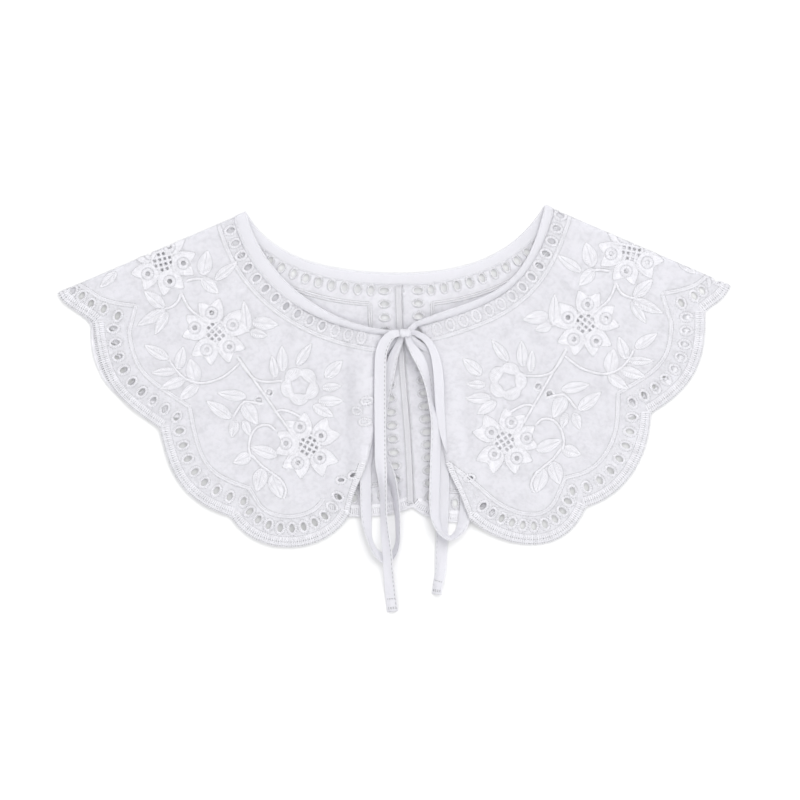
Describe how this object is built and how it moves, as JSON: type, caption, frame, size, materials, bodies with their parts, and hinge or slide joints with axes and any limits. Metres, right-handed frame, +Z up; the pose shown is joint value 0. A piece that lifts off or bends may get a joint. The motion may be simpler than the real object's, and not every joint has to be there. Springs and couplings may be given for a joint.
{
  "type": "embroidered collar",
  "caption": "Detachable cloth collar with a scalloped, eyelet-embroidered hem, a narrow neckband and tape ties knotted in a bow, folded and laid flat.",
  "frame": {"origin": "centre of the flat underside's bounding rectangle, without the ties, on the surface the collar lies on", "axes": "+X across the collar from the left shoulder tip in the picture to the right one, +Y from the hem up to the neck, +Z up from the surface"},
  "size_m": [0.4553, 0.2767, 0.0136],
  "materials": {
    "embroidered_cloth": "matte",
    "neckband": "matte",
    "tape": "satin"
  },
  "bodies": {
    "root": {"panel_left": "embroidered_cloth", "panel_right": "embroidered_cloth", "neckband": "neckband", "centre_back_seam": "embroidered_cloth", "tie_knot": "tape", "tie_loop_left": "tape", "tie_loop_right": "tape", "tie_tail_left": "tape", "tie_tail_right": "tape"}
  },
  "joints": []
}
